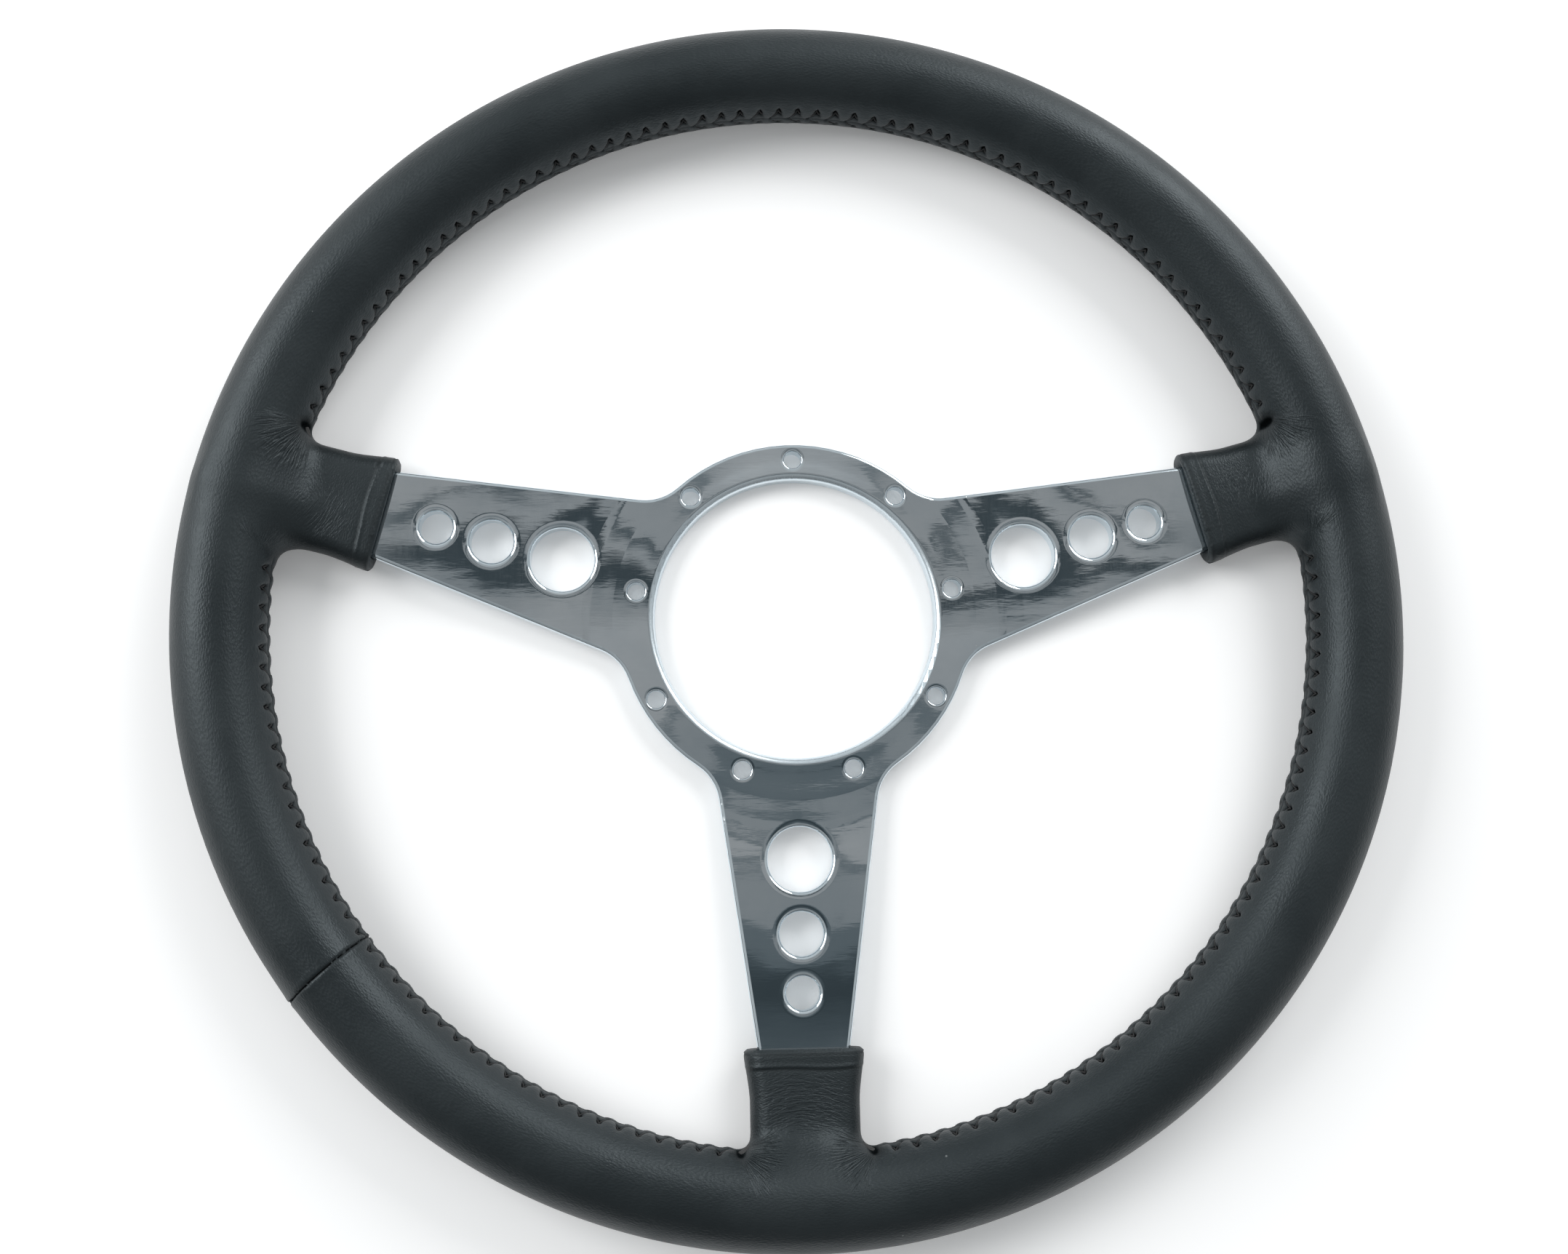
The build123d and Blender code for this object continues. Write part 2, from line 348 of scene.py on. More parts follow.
def alloyMaterial():
    f = alloyFinish
    material, tree, shader, coords = startMaterial("polishedAlloy")
    uneven = placeGroup(tree, unevenFinish, coords, Scale=f["uneven"])
    dust = placeGroup(tree, dustSpecks, coords, **f["specks"])
    dip = placeGroup(tree, buffedEdges, coords)
    colour = mixColours(tree, uneven, f["metal"], f["stained"])
    brush, ripple = (noiseNode(tree, mappingNode(tree, coords, Scale=f[mark]), 1.0, 3, 0.6)
                     for mark in ("brush", "ripple"))
    out = vectorNode(tree, "LENGTH", coords)
    inner, outer, most = f["haze"]
    haze = mathNode(tree, "MULTIPLY", rangeNode(tree, out, inner * mm, outer * mm, 0.0, most), uneven)
    inner, outer, most = f["satin"]
    blur = rangeNode(tree, dip, *f["edgeDip"], *f["roughness"])
    blur = mathNode(tree, "ADD", blur, rangeNode(tree, out, inner * mm, outer * mm, most, 0.0))
    blur = mathNode(tree, "ADD", haze, blur)
    under = bumpNode(tree, mathNode(tree, "MULTIPLY", dip, -1.0), 1.0, mm)
    under = bumpNode(tree, noiseNode(tree, coords, f["wave"], 2.0, 0.35), *f["waveBump"], under)
    setInputs(tree, shader, {
        "Base Color": mixColours(tree, dust, colour, f["dust"]),
        "Metallic": 1.0,
        "Roughness": mathNode(tree, "MULTIPLY_ADD", brush, f["brushRoughness"], blur),
        "Normal": bumpNode(tree, ripple, *f["rippleBump"], under),
    })
    return material


threadFinish = {
    "dark": (0.002, 0.0022, 0.0025), "pale": (0.009, 0.010, 0.011),
    "scale": 3800, "detail": 2, "roughness": 0.7, "bump": (0.4, 0.0002),
}

gripFinish = {
    "dark": (0.02, 0.02, 0.02), "pale": (0.05, 0.05, 0.05),
    "scale": 900, "detail": 3, "roughness": 0.85, "bump": (0.4, 0.0005),
}


def mottledMaterial(name, f):
    material, tree, shader, coords = startMaterial(name)
    grain = noiseNode(tree, coords, f["scale"], f["detail"])
    setInputs(tree, shader, {
        "Base Color": mixColours(tree, grain, f["dark"], f["pale"]),
        "Roughness": f["roughness"],
        "Normal": bumpNode(tree, grain, *f["bump"]),
    })
    return material


blackLeather = leatherMaterial()
blackThread = mottledMaterial("blackThread", threadFinish)
nodeFinishes = {"spider": alloyMaterial(), "rim_core": mottledMaterial("mouldedGrip", gripFinish)}
for node, material in nodeFinishes.items():
    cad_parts[node].data.materials.clear()
    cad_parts[node].data.materials.append(material)
print("materials made")


# Leather: the plain surface as a distance field, a mesh settled on it, then the relief of the sewing and its
# painted shade

sleeve = {
    "start": 132.3,
    "spare": 8.0,              # made beyond the end, then cut off square
    "startHeight": 6.16,       # middle of the spoke there
    "tilt": 3.0,
    "halfWidth": 16.6,
    "endFlare": 1.6,
    "flareLength": 16.0,
    "halfThickness": 5.9,
    "crown": 0.7,
    "frontFuller": 0.8,        # the front is rounder than the back
    "corner": 5.2,
    "frontHollow": 7.5,        # softer where the front runs up on to the rim
    "plateHalfWidth": 14.25,   # opening round the spoke
    "plateHalfThickness": 2.65,
    "hemLength": 5.0,
    "hemWave": 0.25,
    "hemProud": 0.22,
    "hemRidge": 0.34,
    "hemFoot": 0.14,           # groove beyond the ridge
    "hemDepth": 2.6,
    "lipRound": 1.1,
    "lipGap": 0.22,            # groove beside the end
    "closing": 0.6,            # groove of the back stitches
}


def sleeveAxes(spoke):
    a, t = math.radians(spoke["angle"]), math.radians(sleeve["tilt"])
    along = np.array([math.cos(a) * math.cos(t), math.sin(a) * math.cos(t), math.sin(t)])
    across = np.array([-math.sin(a), math.cos(a), 0.0])
    origin = np.array([sleeve["start"] * math.cos(a), sleeve["start"] * math.sin(a), sleeve["startHeight"]])
    return origin, along, across, np.cross(along, across)


def sleeveCoords(points, spoke):
    # along the sleeve from its end, across it, towards its front
    origin, along, across, front = sleeveAxes(spoke)
    offset = points - origin
    return offset @ along, offset @ across, offset @ front


def rimCoords(points):
    # angle round the wheel, distance from its axis, distance round the tube from the laced edges
    turn = np.degrees(np.arctan2(points[:, 1], points[:, 0])) % 360
    rho = np.hypot(points[:, 0], points[:, 1])
    return turn, rho, np.arctan2(points[:, 2] - rimHeight, ringRadius - rho) * tubeRadius


def plainDistance(points):
    rho = np.hypot(points[:, 0], points[:, 1])
    field = np.hypot(rho - ringRadius, points[:, 2] - rimHeight) - tubeRadius
    corner = sleeve["corner"]
    for spoke in spokes.values():
        u, v, w = sleeveCoords(points, spoke)
        halfWidth = sleeve["halfWidth"] + sleeve["endFlare"] * (1 - smooth(0, sleeve["flareLength"], u))
        bulge = 1 - np.clip(v / halfWidth, -1, 1) ** 2
        halfThickness = sleeve["halfThickness"] + sleeve["crown"] * bulge
        halfThickness = halfThickness + sleeve["frontFuller"] * smooth(-2, 2, w) * (1.5 * bulge - 0.5)
        dv = np.abs(v) - halfWidth + corner
        dw = np.abs(w) - halfThickness + corner
        block = np.hypot(np.maximum(dv, 0), np.maximum(dw, 0)) + np.minimum(np.maximum(dv, dw), 0) - corner
        block = np.maximum(block, np.maximum(u - ringRadius + sleeve["start"], -sleeve["spare"] - u))
        hollow = spoke["cornerLow"] + (spoke["cornerHigh"] - spoke["cornerLow"]) * smooth(-6, 6, v)
        hollow = hollow + sleeve["frontHollow"] * smooth(1, 8, w) * (1 - smooth(2, 20, np.abs(v)))
        share = np.clip(0.5 + 0.5 * (block - field) / hollow, 0, 1)
        field = block + (field - block) * share - hollow * share * (1 - share)
    lowest = rimHeight - tubeRadius
    return np.maximum(field, lowest - points[:, 2])    # flat where it would sink into the floor


def plainNormal(points):
    step = 0.02
    slope = np.empty_like(points)
    for axis in range(3):
        shift = np.zeros(3)
        shift[axis] = step
        slope[:, axis] = (plainDistance(points + shift) - plainDistance(points - shift)) / (2 * step)
    size = np.linalg.norm(slope, axis=1, keepdims=True)
    return slope / size, size[:, 0]


def settle(points, inset=0.0, rounds=5):
    for _ in range(rounds):
        normal, size = plainNormal(points)
        points = points - ((plainDistance(points) + inset) / size)[:, None] * normal
    return points


lacing = {
    "runEnd": 9.2,             # from the middle of a spoke to the first stitch
    "pitch": 6.2,
    "holeHeight": {"top": 3.9, "left": 4.6, "right": 4.6},   # along the leather from the laced edges
    "edgeDepth": 0.45,
    "edgeWidth": 0.55,
    "pitDepth": 1.15,
    "pitSize": (0.75, 0.8),
    "tailDepth": 0.55,
    "tailWidth": 0.34,
    "tailLength": 2.4,
    "bedDepth": 0.55,
    "bedWidths": (0.45, 0.42),  # of the long and the short leg of a stitch
    "insideDepth": 0.35,       # between the two legs of a stitch
    "puff": 0.34,
    "puffWidth": 2.6,
    "deepest": 1.2,            # the leather's own thickness
    "stray": {"depth": 0.3, "height": 0.3, "sideways": 0.25},   # no two stitches are alike
    # painted shade: how dark each mark of a stitch is painted, in its pits and grooves and between its legs
    "dark": {"pit": 1.5, "tail": 1.0, "leg": 1.0, "short": 0.9, "inside": 0.5, "between": 0.4},
    "slant": 3.1,
    "shortSlant": 1.9,
    "threadRadius": 0.30,
    "threadSides": 6,
    "wander": 0.0016,          # stitches stray along the rim, in radians
    "seed": 11,
}

angleOf = {side: spoke["angle"] for side, spoke in spokes.items()}
runs = {
    "top": (angleOf["right"] + lacing["runEnd"], angleOf["left"] - lacing["runEnd"]),
    "left": (angleOf["left"] + lacing["runEnd"], angleOf["bottom"] - lacing["runEnd"]),
    "right": (angleOf["bottom"] + lacing["runEnd"], angleOf["right"] + 360 - lacing["runEnd"]),
}


def stitchCount(first, last):
    return math.ceil(math.radians(last - first) * rimInner / lacing["pitch"])


def lacingRelief(points):
    c = lacing
    turn, _, s = rimCoords(points)
    relief = np.zeros(len(points))
    paintedShade = np.zeros(len(points))
    chance = np.random.default_rng(c["seed"])
    for run, (first, last) in runs.items():
        hole = c["holeHeight"][run]
        count = stitchCount(first, last)
        uneven = chance.uniform(-1, 1, (4, count + 1))
        here = np.where(turn < first - 20, turn + 360, turn)
        step = (last - first) / count
        place = np.clip(np.round((here - first) / step), 0, count).astype(int)
        t = np.radians(here - first - place * step) * rimInner
        inRun = smooth(first - 2.0, first - 0.6, here) * (1 - smooth(last + 0.6, last + 2.0, here))
        side = np.where(s < 0, 1, 0)
        deep = 1 + c["stray"]["depth"] * uneven[side, place]
        h = np.abs(s) - hole - c["stray"]["height"] * uneven[2 + side, place]
        sideways = t - c["stray"]["sideways"] * uneven[side, place]
        between = bump(s, c["edgeWidth"])
        pitWide, pitHigh = c["pitSize"]
        pit = bump(sideways - 0.35 * h, pitWide) * bump(h, pitHigh)
        tail = bump(sideways + 0.12 * h, c["tailWidth"]) * smooth(-0.8, 0.2, h)
        tail = tail * (1 - smooth(0.3, c["tailLength"], h))
        share = 1 - np.clip(np.abs(s) / hole, 0, 1)
        laced = (np.abs(s) < hole) * 1.0
        toLong = c["slant"] * share - t              # away from the long leg, inwards
        toShort = c["shortSlant"] * share + t        # away from the short leg, inwards
        longWide, shortWide = c["bedWidths"]
        leg = laced * bump(toLong, longWide)
        short = laced * bump(toShort, shortWide) * smooth(0.2, 0.7, 1 - share)
        inside = laced * (1 - share) * smooth(-0.4, 0.4, toShort) * smooth(-0.4, 0.4, toLong)
        gathered = 0.5 - 0.5 * np.cos(2 * np.pi * np.clip(t / c["pitch"], -0.5, 0.5))
        puff = c["puff"] * gathered * bump(np.abs(s) - hole + 1.2, c["puffWidth"])
        sunk = c["pitDepth"] * deep * pit + c["tailDepth"] * deep * tail
        sunk = sunk + c["bedDepth"] * np.maximum(leg, short) + c["insideDepth"] * inside
        relief += inRun * np.maximum(puff - c["edgeDepth"] * between - sunk, -c["deepest"])
        # painted shade over the pits, the tails, the beds of the legs and the space between them
        marks = {"pit": pit, "tail": tail, "leg": (1 - 0.4 * share) * leg, "short": short,
                 "inside": inside, "between": between}
        dark = sum(c["dark"][kind] * mark for kind, mark in marks.items())
        paintedShade = np.maximum(paintedShade, inRun * np.clip(dark, 0, 1))
    return relief, paintedShade


seam = {"angle": 216.8, "lean": 0.07, "depth": 0.80, "width": 0.26, "shoulder": 0.10, "lap": 0.10}


def seamAway(points):
    turn, rho, _ = rimCoords(points)
    return np.radians(turn - seam["angle"]) * rho - seam["lean"] * (rho - ringRadius)


def seamRelief(points):
    t = seamAway(points)
    groove = bump(t, seam["width"])
    lapped = smooth(0.0, 0.5, -t) * (1 - smooth(1.0, 9.0, -t))    # one end lies a little prouder
    shoulder = bump(np.abs(t) - 1.3, 0.8)
    relief = -seam["depth"] * groove + seam["shoulder"] * shoulder + seam["lap"] * lapped
    # the groove is painted darker too: painted shade
    return relief, np.clip(1.2 * groove, 0, 1)


wrinkles = {
    "right": [
        {"corner": (29, 20), "turns": (-70, 20), "reach": (1, 15), "deep": 0.8},
        {"corner": (30, -20), "turns": (-60, 30), "reach": (2, 12), "deep": 0.4},
        {"middle": (15, 2), "size": (9, 10), "turn": 75, "deep": 0.30},
    ],
    "left": [
        {"corner": (29, -20), "turns": (-85, 15), "reach": (1, 18), "deep": 0.9},
        {"corner": (31, 22), "turns": (-50, 40), "reach": (2, 11), "deep": 0.3},
        {"middle": (18, 5), "size": (10, 9), "turn": 68, "deep": 0.38},
    ],
    "bottom": [
        {"corner": (29, 20), "turns": (-65, 28), "reach": (1, 15), "deep": 1.3},
        {"corner": (29, -20), "turns": (-65, 28), "reach": (1, 15), "deep": 1.3},
        {"middle": (15, 0), "size": (11, 15), "turn": 90, "deep": 0.55},
    ],
}  # creases that fan out from a hollow corner, or lie side by side

gather = {
    "fanSpread": 9.0, "fanStretch": 0.6, "fanEdge": 8,
    "rowBow": 0.018,
    "apart": 5.0,              # so that no two places have the same creases
}


def gatherMaps(points):
    # for the fine creases: millimetres across them, along them, and how deep they are
    maps = {"fan": np.zeros((len(points), 3)), "row": np.zeros((len(points), 3))}
    edge = gather["fanEdge"]
    for side, spoke in spokes.items():
        u, v, w = sleeveCoords(points, spoke)
        near = (u > -5) & (u < 48) & (np.abs(v) < 45) & (w > 0)
        front = smooth(1.5, 4.0, w) * smooth(5.8, 7.5, u) * (1 - smooth(38, 44, u))
        for mark in wrinkles[side]:
            if "corner" in mark:
                kind, (u0, v0) = "fan", mark["corner"]
                du, dv = u - u0, (v0 - v) * np.sign(v0)
                away = np.hypot(du, dv)
                turn = np.degrees(np.arctan2(-du, dv))
                (low, high), (close, far) = mark["turns"], mark["reach"]
                deep = smooth(low - edge, low + edge, turn) * (1 - smooth(high - edge, high + edge, turn))
                deep = deep * smooth(close, close + 1.5, away) * (1 - smooth(0.45 * far, far, away))
                across, along = np.radians(turn) * gather["fanSpread"], away * gather["fanStretch"]
                here = near & (v * v0 > 0)
            else:
                kind, (u0, v0), (longU, longV) = "row", mark["middle"], mark["size"]
                a = math.radians(mark["turn"])
                deep = np.clip(1.1 - np.hypot((u - u0) / longU, (v - v0) / longV) ** 2, 0, 1)
                across = (u - u0) * math.sin(a) - (v - v0) * math.cos(a) - gather["rowBow"] * (v - v0) ** 2
                along = (u - u0) * math.cos(a) + (v - v0) * math.sin(a)
                here = near
            marks = np.stack([across + gather["apart"] * u0, along, mark["deep"] * deep * front], axis=1)
            maps[kind][here] = marks[here]
    return maps


puckers = {
    "corners": {"left": (-1,), "bottom": (-1, 1), "right": (1,)},    # where the lacing pulls a deep dent
    "place": (28.4, 19.6),
    "size": 1.7,
    "depth": 1.2,
    # painted shade in each dent
    "dark": 1.3,
    "fineMesh": (28.6, 20.0, 3.5),
}


def sleeveRelief(points, normal):
    c = sleeve
    relief = np.zeros(len(points))
    paintedShade = np.zeros(len(points))
    rho = np.hypot(points[:, 0], points[:, 1])
    dentU, dentV = puckers["place"]
    for side, spoke in spokes.items():
        u, v, w = sleeveCoords(points, spoke)
        flat = np.abs(normal @ sleeveAxes(spoke)[3])     # 1 on the front and back, 0 on the edges
        on = (u > -3) & (u < 40) & (np.abs(v) < 34) & (rho < ringRadius)
        hemEnd = c["hemLength"] + c["hemWave"] * np.sin(0.23 * v + spoke["angle"])
        hem = c["hemProud"] * (1 - smooth(hemEnd - 0.3, hemEnd + 0.5, u))
        ridge = c["hemRidge"] * bump(u - hemEnd, 0.5)
        lip = c["lipRound"] * (1 - smooth(0.0, 1.2, u)) ** 2
        gap = bump(u - 1.3, 0.34)
        foot = bump(u - hemEnd - 0.9, 0.4) * flat
        closing = bump(v, 0.5) * (w < 0) * smooth(1, 3, u) * (1 - smooth(24, 28, u))
        shape = (hem + ridge) * (0.2 + 0.8 * flat) - lip
        shape = shape - c["lipGap"] * gap - c["hemFoot"] * foot - c["closing"] * closing
        # painted shade in the grooves beside the hem and the end, along the back stitches and in the dents
        dark = 0.30 * foot + 0.6 * closing + 0.45 * gap
        for way in puckers["corners"][side]:
            dent = bump(np.hypot(u - dentU, v * way - dentV), puckers["size"]) * smooth(1, 4, w)
            shape = shape - puckers["depth"] * dent
            dark = dark + puckers["dark"] * dent
        relief += np.where(on, shape, 0)
        paintedShade = np.maximum(paintedShade, np.where(on, np.clip(dark, 0, 1), 0))
    return relief, paintedShade


leatherMesh = {
    "voxel": 1.9, "liningVoxel": 4.5, "thickness": 1.3,
    "plainEdge": 2.6, "sleeveEdge": 1.0, "fineEdge": 0.5, "longest": 1.45,
}


def wantedEdge(points):
    # how long an edge may be here: short where the leather is laced, sewn or hemmed
    turn, rho, s = rimCoords(points)
    fine, middling = leatherMesh["fineEdge"], leatherMesh["sleeveEdge"]
    dentU, dentV, dentSize = puckers["fineMesh"]
    wanted = np.full(len(points), leatherMesh["plainEdge"])
    for first, last in runs.values():
        here = np.where(turn < first - 20, turn + 360, turn)
        inRun = (here > first - 2) & (here < last + 2)
        wanted = np.where(inRun & (np.abs(s) < 9.5), np.minimum(wanted, middling), wanted)
        wanted = np.where(inRun & (s > -0.6) & (s < 7.2), fine, wanted)
    wanted = np.where(np.abs(seamAway(points)) < 2.2, fine, wanted)
    for side, spoke in spokes.items():
        u, v, w = sleeveCoords(points, spoke)
        on = (u > -3) & (u < 32) & (np.abs(v) < 26) & (rho < ringRadius)
        wanted = np.where(on & (w > 0), np.minimum(wanted, middling), wanted)
        wanted = np.where(on & (u < 6.8), fine, wanted)
        wanted = np.where(on & (np.abs(v) < 1.2) & (w < 0), fine, wanted)
        for way in puckers["corners"][side]:
            inDent = np.hypot(u - dentU, v * way - dentV) < dentSize
            wanted = np.where(on & inDent & (w > 0), fine, wanted)
    return wanted


def unique(items):
    return list(dict.fromkeys(items))     # keeps the order, where a set's would change from run to run


def coordsOf(verts):
    return np.array([vert.co for vert in verts])


def moveTo(verts, points):
    for vert, point in zip(verts, points):
        vert.co = point


def evaluatedMesh(holder):
    mesh = bpy.data.meshes.new_from_object(holder.evaluated_get(bpy.context.evaluated_depsgraph_get()))
    holder.modifiers.clear()
    bpy.data.objects.remove(holder)
    return mesh


def gripBase(voxel):
    # a coarse mesh round the rim and its three sleeves, in millimetres
    bm = bmesh.new()
    section = Matrix.Translation((ringRadius, 0, rimHeight)) @ Matrix.Rotation(math.pi / 2, 4, "X")
    ring = bmesh.ops.create_circle(bm, segments=24, radius=tubeRadius, matrix=section)
    edges = unique(edge for vert in ring["verts"] for edge in vert.link_edges)
    bmesh.ops.spin(bm, geom=ring["verts"] + edges, cent=(0, 0, 0), axis=(0, 0, 1), angle=2 * math.pi,
                   steps=120, use_merge=True)
    bmesh.ops.remove_doubles(bm, verts=bm.verts, dist=0.01)
    for spoke in spokes.values():
        origin, along, across, front = sleeveAxes(spoke)
        reach = ringRadius - sleeve["start"] + sleeve["spare"]
        middle = origin + along * (reach / 2 - sleeve["spare"])
        turn = Matrix(np.column_stack([along, across, front]).tolist()).to_4x4()
        size = Matrix.Diagonal((reach, 2 * sleeve["halfWidth"], 2 * sleeve["halfThickness"], 1))
        bmesh.ops.create_cube(bm, size=1, matrix=Matrix.Translation(middle) @ turn @ size)
    bmesh.ops.recalc_face_normals(bm, faces=bm.faces)
    mesh = bpy.data.meshes.new("gripBase")
    bm.to_mesh(mesh)
    bm.free()
    holder = bpy.data.objects.new("gripBase", mesh)
    scene.collection.objects.link(holder)
    remesh = holder.modifiers.new("remesh", "REMESH")
    remesh.mode = "VOXEL"
    remesh.voxel_size = voxel
    return evaluatedMesh(holder)


def openEnds(bm, depth):
    # cuts each sleeve off square, this far in from its end
    for spoke in spokes.values():
        origin, along, _, _ = sleeveAxes(spoke)
        bm.verts.index_update()
        u, v, w = sleeveCoords(coordsOf(bm.verts), spoke)
        near = (u < 12) & (np.abs(v) < 30) & (np.abs(w) < 30) & (u > -20)
        faces = [face for face in bm.faces if all(near[vert.index] for vert in face.verts)]
        edges = unique(edge for face in faces for edge in face.edges)
        verts = unique(vert for face in faces for vert in face.verts)
        bmesh.ops.bisect_plane(bm, geom=faces + edges + verts, plane_co=origin + along * depth,
                               plane_no=-along, clear_outer=True, dist=0.02)


def endLoop(bm, spoke, depth):
    loop = []
    for edge in bm.edges:
        if edge.is_boundary:
            middle = np.array([(edge.verts[0].co + edge.verts[1].co) / 2])
            u, v, _ = sleeveCoords(middle, spoke)
            if abs(u[0] - depth) < 0.3 and abs(v[0]) < 30:
                loop.append(edge)
    return loop


def refine(bm):
    points = coordsOf(bm.verts)
    bm.verts.index_update()
    bm.edges.ensure_lookup_table()
    ends = np.array([(edge.verts[0].index, edge.verts[1].index) for edge in bm.edges])
    first, second = points[ends[:, 0]], points[ends[:, 1]]
    length = np.linalg.norm(first - second, axis=1)
    tooLong = length > leatherMesh["longest"] * wantedEdge((first + second) / 2)
    chosen = [bm.edges[i] for i in np.nonzero(tooLong)[0]]
    bmesh.ops.subdivide_edges(bm, edges=chosen, cuts=1, use_grid_fill=True, use_single_edge=True)


def tuckEnds(bm):
    # the leather turns in over the end of the sleeve and meets the spoke
    halfWidth, halfThickness = sleeve["plateHalfWidth"], sleeve["plateHalfThickness"]
    for spoke in spokes.values():
        origin, along, across, front = sleeveAxes(spoke)
        edges = endLoop(bm, spoke, 0)
        for depth in (0.5, sleeve["hemDepth"]):
            grown = bmesh.ops.extrude_edge_only(bm, edges=edges)["geom"]
            verts = [item for item in grown if isinstance(item, bmesh.types.BMVert)]
            edges = [item for item in grown if isinstance(item, bmesh.types.BMEdge)]
            _, v, w = sleeveCoords(coordsOf(verts), spoke)
            v = np.clip(v, -halfWidth, halfWidth)
            w = np.clip(w, -halfThickness, halfThickness)
            moveTo(verts, origin + depth * along + v[:, None] * across + w[:, None] * front)
        bmesh.ops.remove_doubles(bm, verts=verts, dist=0.01)


def joinLining(bm, spoke):
    # a strip of triangles from the turned-in hem to the lining, both taken in order round the spoke
    verts = unique(vert for edge in endLoop(bm, spoke, sleeve["hemDepth"]) for vert in edge.verts)
    _, v, w = sleeveCoords(coordsOf(verts), spoke)
    v, w = v / sleeve["plateHalfWidth"], w / sleeve["plateHalfThickness"]
    hem = (np.abs(v) < 1.001) & (np.abs(w) < 1.001)
    turn = np.arctan2(w, v)
    rings = []
    for chosen in (hem, ~hem):
        order = sorted(np.nonzero(chosen)[0], key=lambda i: turn[i])
        rings.append([(turn[i] + lap, verts[i]) for lap in (0, 2 * math.pi) for i in order])
    first, second = rings
    counts = len(first) // 2, len(second) // 2
    i = j = 0
    while i < counts[0] or j < counts[1]:
        if j == counts[1] or (i < counts[0] and first[i + 1][0] <= second[j + 1][0]):
            bm.faces.new((first[i][1], second[j][1], first[i + 1][1]))
            i += 1
        else:
            bm.faces.new((first[i][1], second[j][1], second[j + 1][1]))
            j += 1


def leatherPiece():
    bm = bmesh.new()
    bm.from_mesh(gripBase(leatherMesh["voxel"]))
    moveTo(bm.verts, settle(coordsOf(bm.verts)))
    openEnds(bm, 0)
    for _ in range(2):
        refine(bm)
        moveTo(bm.verts, settle(coordsOf(bm.verts), rounds=2))
    points = coordsOf(bm.verts)
    normal, _ = plainNormal(points)
    laced, lacedShade = lacingRelief(points)
    sewn, sewnShade = seamRelief(points)
    hemmed, hemShade = sleeveRelief(points, normal)
    moveTo(bm.verts, points + (laced + sewn + hemmed)[:, None] * normal)
    # painted shade of pits, grooves and dents, kept on the mesh for the leather's colour and gloss
    shadeLayer = bm.verts.layers.float.new("paintedShade")
    paintedShade = np.maximum(np.maximum(lacedShade, sewnShade), hemShade)
    for vert, dark in zip(bm.verts, paintedShade):
        vert[shadeLayer] = dark
    for kind, marks in gatherMaps(points).items():
        layer = bm.verts.layers.float_vector.new(kind + "Gather")
        for vert, mark in zip(bm.verts, marks):
            vert[layer] = mark
    tuckEnds(bm)

    inner = bmesh.new()
    inner.from_mesh(gripBase(leatherMesh["liningVoxel"]))
    moveTo(inner.verts, settle(coordsOf(inner.verts), inset=leatherMesh["thickness"]))
    openEnds(inner, sleeve["hemDepth"])
    lining = bpy.data.meshes.new("lining")
    inner.to_mesh(lining)
    inner.free()
    bm.from_mesh(lining)
    for spoke in spokes.values():
        joinLining(bm, spoke)
    bmesh.ops.remove_doubles(bm, verts=bm.verts, dist=0.001)
    bmesh.ops.triangulate(bm, faces=bm.faces)
    bmesh.ops.recalc_face_normals(bm, faces=bm.faces)
    bmesh.ops.scale(bm, vec=(mm, mm, mm), verts=bm.verts)
    for face in bm.faces:
        face.smooth = True
    mesh = bpy.data.meshes.new("leather")
    bm.to_mesh(mesh)
    openEdges = sum(edge.is_boundary for edge in bm.edges)
    print("leather:", len(mesh.polygons), "triangles,", openEdges, "open edges")
    bm.free()
    piece = addPiece("leather", mesh, blackLeather)
    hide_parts("leather_cover")


leatherPiece()


# Stitches: one tree for a run of lacing, one for the row on the back of a sleeve

def threadLeg(tree, start, middle, end, radius):
    path = {"Resolution": lacing["threadSides"], "Start": start, "Middle": middle, "End": end}
    curve = addNode(tree, "GeometryNodeCurveQuadraticBezier", path).outputs[0]
    section = {"Resolution": lacing["threadSides"], "Radius": radius}
    section = addNode(tree, "GeometryNodeCurvePrimitiveCircle", section).outputs[0]
    sweep = {"Curve": curve, "Profile Curve": section, "Fill Caps": True}
    return addNode(tree, "GeometryNodeCurveToMesh", sweep).outputs[0]


def sowStitches(tree, result, given, spot, stitch, facing=(0, 0, 0)):
    points = addNode(tree, "GeometryNodePoints", {"Count": given["Stitches"], "Position": spot}).outputs[0]
    sown = {"Points": points, "Instance": stitch, "Rotation": facing}
    sown = addNode(tree, "GeometryNodeInstanceOnPoints", sown).outputs[0]
    real = addNode(tree, "GeometryNodeRealizeInstances", {0: sown}).outputs[0]
    soft = addNode(tree, "GeometryNodeSetShadeSmooth", {0: real}).outputs[0]
    finish = {"Geometry": soft, "Material": given["Thread"]}
    feed(tree, result, addNode(tree, "GeometryNodeSetMaterial", finish).outputs[0])


